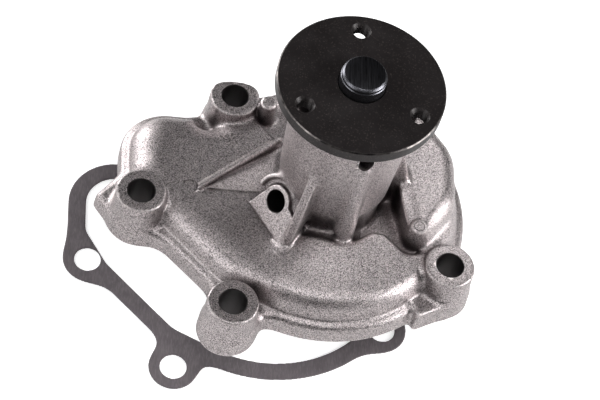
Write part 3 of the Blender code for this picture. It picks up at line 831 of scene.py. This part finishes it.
def vane(x, y, z, turn):
    """A vane that hangs from the disc and thins a little downwards."""
    plan = to_outline(vane_outline(turn), x, y) + (DISC[0] - z) * 0.02
    return both(np.maximum(plan, z - DISC[1]), IMPELLER_LOW - z, 0.8)


def plate(x, y, z, radius, low, high):
    """A round plate about the shaft, between two heights."""
    return both(np.hypot(x, y) - radius, np.abs(z - (low + high) / 2) - (high - low) / 2, 1)


def impeller_field():
    field = Field((-31, -31, IMPELLER_LOW - 2), (31, 31, IMPELLER_HIGH + 2), FINE_GRID)
    place = field.everything()
    hub = plate(*place, HUB_R, IMPELLER_LOW, IMPELLER_HIGH)
    field.values = either(plate(*place, IMPELLER_R, *DISC), hub, 4).astype(np.float32)
    for i in range(VANES):
        turn = 2 * math.pi * i / VANES
        field.change(either, partial(vane, turn=turn), *EVERYWHERE, rounding=2)
    return field


def impeller(cast, painted_hole_shade):
    """The cast impeller with its bore."""
    made = piece("impeller_casting", mesh_of("impeller_casting", *skin(impeller_field())))
    # The bore carries the painted shade of the housing's holes.
    bore = turned("impeller_bore", [(0, 10), (8.1, 10), (8.1, -40), (0, -40)], 72)
    return smoothed(machined(finished(made, cast), [finished(place_at(bore), painted_hole_shade)]), 40)


# ---------------- drive flange and shaft

FLANGE_R = box_radius("drive_flange")
FLANGE_THICK = 5
COLLAR_R = 12  # of the flange's short collar on its underside
COLLAR = 3
FLANGE_BORE_R = 8
EDGE_BREAK = 0.5
TAPPED_CIRCLE_R = 22.4
TAPPED_ANGLES = (90, 210, 330)


def thread_tool(name, minor, major, pitch, top, bottom):
    """A tap: a core with one helical ridge, opened out by a countersink at its upper end."""
    steps = 48
    levels = np.arange(bottom, top + 2, pitch / 8)
    turns = np.arange(steps) / steps
    phase = (levels[:, None] / pitch - turns) % 1
    radius = minor + (major - minor) * (1 - np.abs(2 * phase - 1))
    radius = np.maximum(radius, major + 0.5 + levels[:, None] - top)
    angle = 2 * math.pi * turns
    rows = np.stack([radius * np.cos(angle), radius * np.sin(angle), levels[:, None] + 0 * radius], 2)
    points = [tuple(point) for point in rows.reshape(-1, 3)]
    faces = []
    for row in range(len(levels) - 1):
        this = row * steps
        following = this + steps
        for i in range(steps):
            j = (i + 1) % steps
            faces.append((this + i, this + j, following + j, following + i))
    last = (len(levels) - 1) * steps
    faces += [tuple(range(steps)), tuple(range(last, last + steps))]
    return solid(name, points, faces)


def flange_profile():
    """Half the flange's section: the disc with broken edges, its collar and its bore."""
    top = FLANGE_TOP
    under = top - FLANGE_THICK
    foot = under - COLLAR
    return [
        (FLANGE_R - EDGE_BREAK, top),
        (FLANGE_R - 0.35, top - 0.1),
        (FLANGE_R, top - EDGE_BREAK),
        (FLANGE_R, under + 0.6),
        (FLANGE_R - 0.6, under),
        (COLLAR_R + 1.2, under),
        (COLLAR_R + 0.4, under - 0.4),
        (COLLAR_R, under - 1.2),
        (COLLAR_R, foot + 0.4),
        (COLLAR_R - 0.4, foot),
        (FLANGE_BORE_R, foot),
        (FLANGE_BORE_R, top - EDGE_BREAK),
        (FLANGE_BORE_R + EDGE_BREAK, top),
    ]


def drive_flange(black, chamfer_highlight):
    """The flange with its three tapped holes, with a painted highlight along its upper edge."""
    top = FLANGE_TOP
    made = finished(turned("flange_disc", flange_profile(), 180), black, chamfer_highlight)
    taps = []
    for angle in TAPPED_ANGLES:
        tap = thread_tool(f"tap_{angle}", 2.5, 3.0, 1, top, top - FLANGE_THICK - 1)
        turn = math.radians(angle)
        x = TAPPED_CIRCLE_R * math.cos(turn)
        y = TAPPED_CIRCLE_R * math.sin(turn)
        taps.append(finished(place_at(tap, x, y, 0), black))
    machined(made, taps)
    for face in made.data.polygons:  # the narrow slope round the upper edge carries the painted highlight
        r = math.hypot(face.center.x, face.center.y) / MM
        if FLANGE_R - 0.3 < r < FLANGE_R - 0.05 and face.center.z / MM > top - EDGE_BREAK:
            face.material_index = 1
    return smoothed(place_at(made), 30)


BALL_PITCH_R = 10.2
BALL_GROOVE_R = 2.95
BALL_Z = 61


def ball_groove(r):
    """The track that the balls run in, down the side of a shaft."""
    half = math.acos((BALL_PITCH_R - r) / BALL_GROOVE_R)
    turns = np.linspace(half, -half, 15)
    return [
        (BALL_PITCH_R - BALL_GROOVE_R * math.cos(a), BALL_Z + BALL_GROOVE_R * math.sin(a)) for a in turns
    ]


def shaft_bar(steel):
    """The bearing's shaft, with its ball groove and its end turned down a little."""
    r = box_radius("shaft")
    top = SHAFT_TOP
    low = above_face(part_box("shaft")[0].z)
    profile = [
        (0, top),
        (r - 1.1, top),
        (r - 0.95, top - 0.06),
        (r - 0.3, top - 0.8),
        (r - 0.25, top - 1.7),
        (r, top - 2),
        *ball_groove(r),
        (r, low + 1),
        (r - 0.8, low + 0.1),
        (r - 1, low),
        (0, low),
    ]
    return smoothed(finished(place_at(turned("shaft_bar", profile, 128)), steel), 30)


# ---------------- gasket


GASKET_OUTSET = 0.4
GASKET_INSET = 6.3
GASKET_EAR_R = 9
GASKET_HOLE_R = 4.9


def gasket_plan(x, y):
    """A strip along the edge of the housing's outline, with an ear round each bolt hole."""
    core = to_outline(core_outline(), x, y)
    holes = [off_axis(x, y, place) for place in BOSSES.values()]
    plan = core - GASKET_OUTSET
    for r in holes:
        plan = either(plan, r - GASKET_EAR_R, 9)
    plan = without(plan, core + GASKET_INSET)
    for r in holes:
        plan = without(plan, r - GASKET_HOLE_R)
    return plan


def gasket_sheet(fibre):
    """The gasket, cut from sheet, where the CAD gasket lies."""
    low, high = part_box("gasket")
    thick = (high.z - low.z) / MM
    field = Field((-95, -66, -1), (60, 66, thick + 1), FINE_GRID)
    x, y, z = field.everything()
    field.values = prism(gasket_plan(x, y), z, 0, thick, edge=0.15).astype(np.float32)
    points, quads = skin(field)
    points += np.array(low) / MM - points.min(0) - [0, 0, MOUNT_Z / MM]
    made = piece("gasket_sheet", mesh_of("gasket_sheet", points, quads))
    return smoothed(finished(made, fibre), 30)


# ---------------- materials


def feed(tree, slot, value):
    """Links a node's input to another node's output, or sets it to a number, vector or colour."""
    if isinstance(value, bpy.types.NodeSocket):
        tree.links.new(value, slot)
    elif slot.type == "RGBA":
        slot.default_value = (*value, 1)
    else:
        slot.default_value = value


def add_node(tree, kind, inputs=None, **settings):
    """A new shader node with its settings, and its inputs fed."""
    node = tree.nodes.new("ShaderNode" + kind)
    for key, value in settings.items():
        setattr(node, key, value)
    for key, value in (inputs or {}).items():
        feed(tree, node.inputs[key], value)
    return node


class Paint:
    """A Principled material and short calls for the nodes that vary it."""

    def __init__(self, name, metallic, roughness):
        self.material = bpy.data.materials.new(name)
        self.material.use_nodes = True
        self.node = partial(add_node, self.material.node_tree)
        self.place = self.node("TexCoord").outputs["Object"]
        self.set("Metallic", metallic)
        self.set("Roughness", roughness)

    def set(self, name, value):
        """Feeds one of the material's own inputs."""
        tree = self.material.node_tree
        feed(tree, tree.nodes["Principled BSDF"].inputs[name], value)

    def noise(self, size, detail=2, place=None, roughness=0.5):
        """Noise from 0 to 1 whose patches are about so many millimetres across."""
        inputs = {
            "Vector": place or self.place,
            "Scale": 1 / (size * MM),
            "Detail": detail,
            "Roughness": roughness,
        }
        return self.node("TexNoise", inputs).outputs["Fac"]

    def facets(self, size):
        """A chance value from 0 to 1 for each little cell of about so many millimetres."""
        cells = self.node("TexVoronoi", {"Vector": self.place, "Scale": 1 / (size * MM)})
        return self.node("SeparateColor", {0: cells.outputs["Color"]}).outputs[0]

    def ramp(self, value, low, high, start=0.0, end=1.0):
        """A value from start to end stretched onto low to high."""
        inputs = {"Value": value, "From Min": start, "From Max": end, "To Min": low, "To Max": high}
        return self.node("MapRange", inputs).outputs["Result"]

    def math(self, kind, a, b=0.0):
        """The sum, product or the like of two values."""
        return self.node("Math", {0: a, 1: b}, operation=kind).outputs[0]

    def blend(self, share, a, b):
        """Two colours mixed."""
        return self.node("Mix", {0: share, 6: a, 7: b}, data_type="RGBA").outputs[2]

    def pointiness(self):
        """0.5 on even ground, more on a convex edge."""
        return self.node("NewGeometry").outputs["Pointiness"]

    def openness(self, reach):
        """From 0 in a crevice to 1 on open ground, looking so many millimetres about."""
        return self.node("AmbientOcclusion", {"Distance": reach * MM}, samples=12).outputs["AO"]

    def colour(self, value):
        self.set("Base Color", value)

    def roughness(self, value):
        self.set("Roughness", value)

    def bump(self, height, depth, strength=1.0):
        """Relief of so many millimetres, added over what is there."""
        inputs = {"Height": height, "Distance": depth * MM, "Strength": strength}
        beneath = self.material.node_tree.nodes["Principled BSDF"].inputs["Normal"].links
        if beneath:
            inputs["Normal"] = beneath[0].from_socket
        self.set("Normal", self.node("Bump", inputs).outputs["Normal"])

    def round_place(self):
        """Coordinates in which turning marks are lines: distance from the shaft, and height."""
        x, y, z = self.node("SeparateXYZ", {0: self.place}).outputs
        squares = self.math("ADD", self.math("MULTIPLY", x, x), self.math("MULTIPLY", y, y))
        return self.node("CombineXYZ", {"X": self.math("SQRT", squares), "Y": z}).outputs[0]

    def stretched(self, angle, ratio):
        """Coordinates drawn out along a direction in plan, for scratches."""
        inputs = {
            "Vector": self.place,
            "Rotation": (0, 0, math.radians(angle)),
            "Scale": (1, 1 / ratio, 1),
        }
        return self.node("Mapping", inputs).outputs[0]


def cast_aluminium():
    """Shot-blasted casting: little facets that shine differently, a painted highlight on convex edges,
    painted shade in crevices.
    """
    paint = Paint("shot_blasted_aluminium", 0.95, 0.4)
    facet = paint.facets(0.18)
    cloud = paint.noise(14, 3)
    dark = paint.blend(cloud, (0.06, 0.053, 0.054), (0.09, 0.08, 0.082))
    light = paint.blend(cloud, (0.72, 0.65, 0.65), (0.86, 0.785, 0.785))
    # Painted shade: crevice is the near-black colour painted into crevices, pockets and the feet of
    # bosses.
    crevice = paint.blend(cloud, (0.08, 0.066, 0.067), (0.11, 0.093, 0.094))
    # Painted highlight: convex edges are turned near white, standing for the light they catch.
    edge = paint.ramp(paint.pointiness(), 0, 0.85, 0.525, 0.59)
    # Ambient occlusion masks the painted shade: 0 deep in crevices, 1 on open ground.
    painted_shade_mask = paint.ramp(paint.openness(9), 0, 1, 0.35, 0.85)
    skin_colour = paint.blend(paint.ramp(facet, 0, 1, 0.15, 0.9), dark, light)
    skin_colour = paint.blend(edge, skin_colour, (0.97, 0.9, 0.89))
    paint.colour(paint.blend(painted_shade_mask, crevice, skin_colour))
    paint.roughness(paint.ramp(facet, 0.27, 0.5))
    paint.bump(paint.noise(3.5, 2), 0.1, 0.5)
    paint.bump(paint.noise(0.3, 1), 0.12, 0.7)
    return paint.material


def machined_aluminium(name, dark, light):
    """A bored or milled face with its tool marks."""
    paint = Paint(name, 0.9, 0.4)
    marks = paint.noise(0.5, 2, paint.round_place())
    paint.colour(paint.blend(marks, dark, light))
    paint.roughness(paint.ramp(marks, 0.35, 0.55))
    paint.bump(marks, 0.05, 0.5)
    return paint.material


def black_oxide():
    """Blackened steel, faintly brown, with smears, fine sparkle, turning marks and rare scratches."""
    paint = Paint("black_oxide", 0.3, 0.42)
    paint.set("Specular IOR Level", 0.24)
    smear = paint.noise(9, 4)
    black = paint.blend(smear, (0.019, 0.0165, 0.0165), (0.034, 0.0295, 0.03))
    sparkle = paint.ramp(paint.facets(0.35), 0, 0.5, 0.86, 1)
    black = paint.blend(sparkle, black, (0.1, 0.085, 0.08))
    for angle, ratio in ((20, 26), (75, 34), (130, 22)):
        streak = paint.noise(0.6, 1, paint.stretched(angle, ratio))
        scratch = paint.ramp(streak, 0, 0.35, 0.78, 0.9)
        black = paint.blend(scratch, black, (0.16, 0.13, 0.11))
    paint.colour(black)
    paint.roughness(paint.ramp(smear, 0.3, 0.48, 0.3, 0.7))
    paint.bump(paint.noise(0.35, 2, paint.round_place()), 0.02, 0.6)
    return paint.material


def painted_chamfer_highlight():
    """A painted highlight along an edge of the blackened steel, broken up in places."""
    paint = Paint("black_edge_painted_highlight", 0.9, 0.3)
    # The painted highlight is lighter where the noise runs high and near black elsewhere, so the line is
    # broken.
    highlight_breaks = paint.noise(2.5, 3)
    highlight_share = paint.ramp(highlight_breaks, 0, 1, 0.35, 0.65)
    paint.colour(paint.blend(highlight_share, (0.03, 0.027, 0.027), (0.16, 0.145, 0.14)))
    paint.bump(paint.noise(0.6, 2), 0.03, 0.5)
    return paint.material


def ground_steel(name, dark, light, roughness, lines=False):
    """Turned or ground steel, its fine marks running round the axis, or straight across."""
    paint = Paint(name, 1, roughness)
    if lines:
        marks = paint.noise(0.3, 3, paint.stretched(100, 25), 0.7)
    else:
        marks = paint.noise(0.22, 3, paint.round_place(), 0.7)
    paint.colour(paint.blend(paint.ramp(marks, 0, 1, 0.25, 0.75), dark, light))
    paint.roughness(paint.ramp(marks, roughness - 0.08, roughness + 0.1))
    paint.bump(marks, 0.03, 0.7)
    paint.bump(paint.noise(1.5, 2), 0.01, 0.4)
    return paint.material


def speckled(name, dark, light, metallic, roughness, size, depth):
    """A plain matt stuff with a fine mottle and grain."""
    paint = Paint(name, metallic, roughness)
    grain = paint.noise(size, 3)
    paint.colour(paint.blend(paint.noise(size * 6, 3), dark, light))
    paint.roughness(paint.ramp(grain, roughness - 0.1, roughness + 0.1))
    paint.bump(grain, depth, 0.7)
    return paint.material


def gasket_fibre():
    """Coated fibre sheet: dull grey, cloudy, with short fibres in every direction."""
    paint = Paint("gasket_fibre_sheet", 0, 0.75)
    fibre = paint.noise(0.5, 3, paint.stretched(35, 5))
    crossed = paint.noise(0.5, 3, paint.stretched(-50, 5))
    fibres = paint.math("MAXIMUM", fibre, crossed)
    base = paint.blend(paint.noise(5, 4), (0.085, 0.073, 0.08), (0.15, 0.13, 0.14))
    paint.colour(paint.blend(paint.ramp(fibres, 0, 0.6, 0.5, 0.75), base, (0.2, 0.18, 0.19)))
    paint.roughness(paint.ramp(fibres, 0.65, 0.9))
    paint.bump(fibres, 0.08, 0.6)
    return paint.material


# ---------------- studio


def direction(azimuth, elevation):
    """From the pump towards an azimuth, 0 in front of it and 90 to its right, and an elevation."""
    a = math.radians(azimuth)
    e = math.radians(elevation)
    return Vector((math.sin(a) * math.cos(e), -math.cos(a) * math.cos(e), math.sin(e)))


def camera():
    """Looks down at the left front of the pump through a long lens, rolled to one side."""
    aim = Vector((-10, -3, 42.2)) * MM
    distance = 720 * MM
    roll = math.radians(16.3)
    toward = direction(-13.3, 55.3)
    data = bpy.data.cameras.new("camera")
    data.sensor_width = 36
    data.lens = 119.4
    data.clip_start = 0.01
    made = piece("camera", data)
    level = toward.to_track_quat("Z", "Y").to_matrix()
    rolled = level @ Matrix.Rotation(roll, 3, "Z")
    made.matrix_world = Matrix.Translation(aim + toward * distance) @ rolled.to_4x4()
    bpy.context.scene.camera = made


def floor():
    """A pale floor, lighter to the eye than in the reflections on the pump."""
    size = 3
    corners = [(-size, -size, 0), (size, -size, 0), (size, size, 0), (-size, size, 0)]
    data = bpy.data.meshes.new("floor")
    data.from_pydata(corners, [], [(0, 1, 2, 3)])
    made = piece("floor", data)
    made.location.z = -0.2 * MM
    paint = Paint("floor", 0, 0.8)
    paint.colour((0.9, 0.9, 0.9))
    paint.set("Specular IOR Level", 0.1)
    paint.set("Emission Color", (1, 1, 1))
    seen = paint.node("LightPath").outputs["Is Camera Ray"]
    paint.set("Emission Strength", paint.ramp(seen, 0.12, 0.6))
    finished(made, paint.material)


def softbox(name, azimuth, elevation, distance, size, power, lit=None):
    """A square light aimed at the pump, in metres, which lights everything or one collection."""
    toward = direction(azimuth, elevation)
    data = bpy.data.lights.new(name, "AREA")
    data.size = size
    data.energy = power
    made = piece(name, data)
    made.location = Vector((0, 0, 0.05)) + toward * distance
    made.rotation_euler = toward.to_track_quat("Z", "Y").to_euler()
    made.visible_camera = False
    made.light_linking.receiver_collection = lit


def casting_alone():
    """The housing by itself, for the light that must not show in the drive flange."""
    alone = bpy.data.collections.new("casting_alone")
    alone.objects.link(bpy.data.objects["housing_casting"])
    return alone


def surroundings():
    """A tent that lights more from the side than from above, and a plain pale backdrop."""
    horizon = 0.04
    overhead = 0.00175
    grey = (0.62, 0.62, 0.62)
    world = bpy.data.worlds.new("studio")
    bpy.context.scene.world = world
    world.use_nodes = True
    node = partial(add_node, world.node_tree)
    height = node("SeparateXYZ", {0: node("TexCoord").outputs["Generated"]}).outputs["Z"]
    fade = {"Value": height, "From Min": 0.1, "From Max": 0.55, "To Min": horizon, "To Max": overhead}
    light = node("MapRange", fade, interpolation_type="SMOOTHSTEP").outputs["Result"]
    tent = node("Background", {"Color": (1, 1, 1), "Strength": light}).outputs[0]
    backdrop = node("Background", {"Color": grey}).outputs[0]
    seen = node("LightPath").outputs["Is Camera Ray"]
    choice = node("MixShader", {"Fac": seen, 1: tent, 2: backdrop}).outputs[0]
    feed(world.node_tree, world.node_tree.nodes["World Output"].inputs["Surface"], choice)


def studio():
    surroundings()
    softbox("right_box", 75, 20, 0.9, 0.5, 8.8)
    softbox("left_box", -84, 12, 0.9, 0.5, 1.3)
    softbox("back_box", -135, 16, 1.1, 0.6, 9)
    softbox("front_left_box", -62, 36, 1.0, 0.4, 2.4)
    softbox("top_box", 5, 72, 1.1, 0.4, 3.5)
    softbox("near_box", 141, 46, 0.22, 0.1, 0.11, casting_alone())
    bpy.context.scene.view_settings.view_transform = "Standard"


# ---------------- assembly


def stand_for(made, node, body):
    """A finished piece takes the place of a CAD node."""
    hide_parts(node)
    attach(made, body)


def dress():
    """Fine pieces in place of the CAD nodes that show, and finishes for the others."""
    cast = cast_aluminium()
    # Painted shade: a near-black copy of the machined aluminium goes on the bores, bolt holes and drain
    # hole, standing for the shade inside them.
    painted_hole_shade = machined_aluminium("drilled_aluminium_painted_shade", (0.022, 0.019, 0.019), (0.055, 0.048, 0.048))
    milled = machined_aluminium("milled_aluminium", (0.42, 0.4, 0.39), (0.68, 0.66, 0.65))
    black = black_oxide()
    iron = speckled("cast_iron", (0.05, 0.047, 0.045), (0.1, 0.09, 0.085), 0.7, 0.6, 0.6, 0.2)
    bar = ground_steel("oiled_steel_bar", (0.045, 0.045, 0.052), (0.2, 0.2, 0.22), 0.34, lines=True)
    stand_for(housing_casting(cast, painted_hole_shade, milled), "pump_housing", "housing")
    stand_for(drive_flange(black, painted_chamfer_highlight()), "drive_flange", "rotor")
    stand_for(shaft_bar(bar), "shaft", "rotor")
    stand_for(impeller(iron, painted_hole_shade), "impeller", "rotor")
    stand_for(gasket_sheet(gasket_fibre()), "gasket", "gasket")
    finish_hidden_parts()


def finish_hidden_parts():
    """Finishes for the CAD nodes shown as they are, by the record's slots."""
    finishes = {
        "ground_steel": ground_steel("bearing_steel", (0.42, 0.43, 0.45), (0.62, 0.63, 0.66), 0.2),
        "pressed_steel": ground_steel("stainless_sheet", (0.45, 0.44, 0.42), (0.62, 0.6, 0.57), 0.3),
    }
    plain = {
        "rubber": ("moulded_rubber", (0.012, 0.012, 0.012), (0.03, 0.03, 0.03), 0, 0.7, 0.4, 0.05),
        "carbon": ("seal_carbon_graphite", (0.02, 0.02, 0.022), (0.05, 0.05, 0.055), 0.2, 0.45, 0.3, 0.02),
        "ceramic": ("seal_ceramic", (0.72, 0.7, 0.65), (0.85, 0.83, 0.78), 0, 0.25, 0.3, 0.01),
        "cage_plastic": ("cage_nylon", (0.4, 0.29, 0.16), (0.55, 0.42, 0.25), 0, 0.5, 0.5, 0.03),
    }
    finishes |= {slot: speckled(*look) for slot, look in plain.items()}
    slots = {row["node"]: row["material_slot"] for row in RECORD["subparts"]}
    for name, node in frame["nodes"].items():
        if not node.hide_render and slots[name] in finishes:
            paint_over(node, finishes[slots[name]])


def paint_over(obj, material):
    """Gives the whole of an object one material."""
    obj.data.materials.clear()
    obj.data.materials.append(material)
    obj.data.polygons.foreach_set("material_index", [0] * len(obj.data.polygons))


dress()
camera()
floor()
studio()
